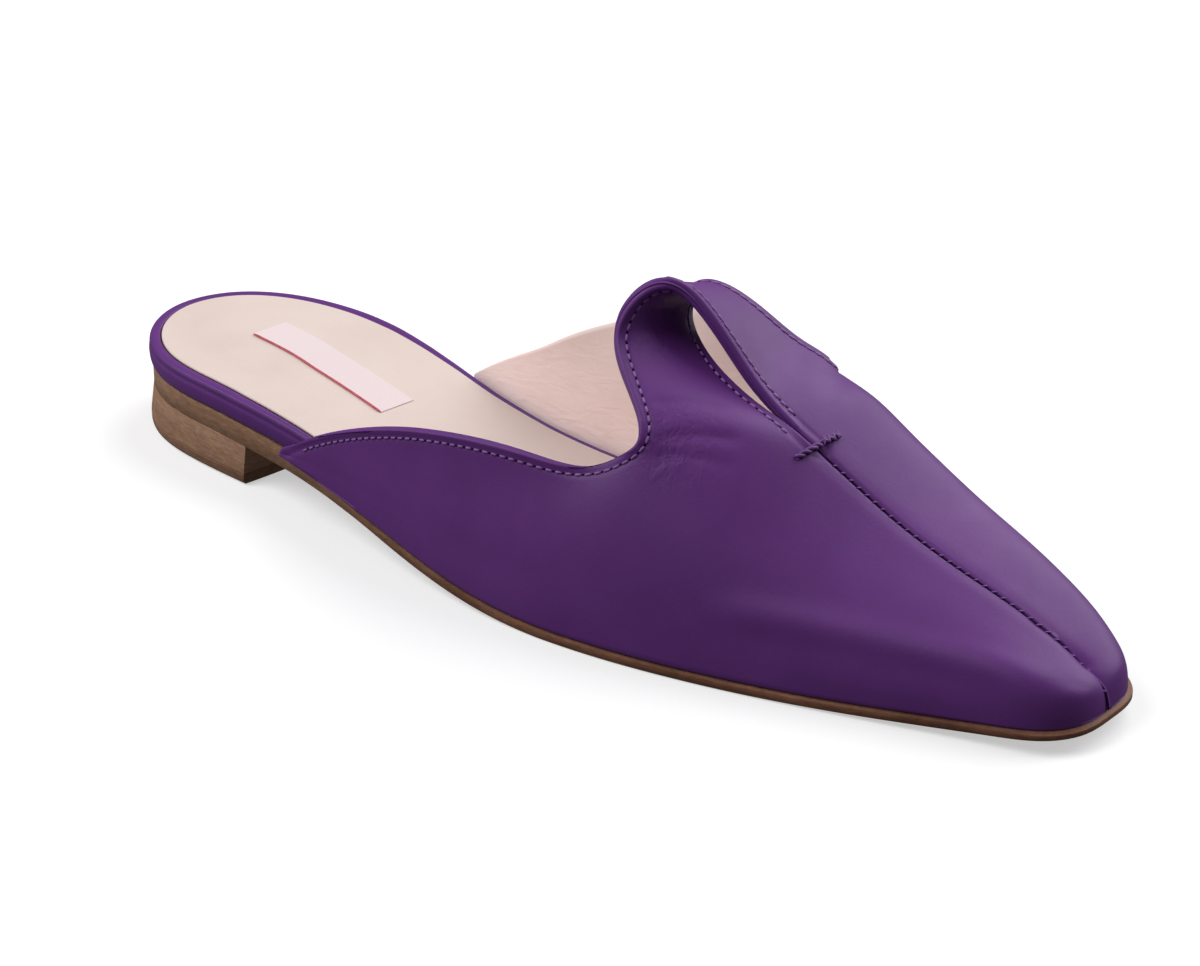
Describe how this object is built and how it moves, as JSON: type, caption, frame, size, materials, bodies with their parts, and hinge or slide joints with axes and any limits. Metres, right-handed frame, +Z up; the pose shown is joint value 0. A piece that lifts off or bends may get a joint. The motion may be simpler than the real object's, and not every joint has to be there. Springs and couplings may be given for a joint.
{
  "type": "flat mule",
  "caption": "Low flat backless shoe with a pointed toe: a hollow upper closed by a centre seam, a strap looped over the instep, a cushioned insole, a thin sole and a low heel.",
  "frame": {"origin": "centre of the bounding box's footprint, on the floor under the sole", "axes": "+X from the heel to the toe, +Y to the inner side of the foot, +Z up from the floor"},
  "size_m": [0.2664, 0.0768, 0.0723],
  "materials": {
    "upper_leather": "satin",
    "insole_cover": "satin",
    "sock_leather": "matte",
    "sole_leather": "satin",
    "heel_stack": "satin",
    "lift_rubber": "matte"
  },
  "bodies": {
    "root": {"upper": "upper_leather", "insole": "insole_cover", "sock": "sock_leather", "outsole": "sole_leather", "heel": "heel_stack", "top_lift": "lift_rubber"}
  },
  "joints": []
}
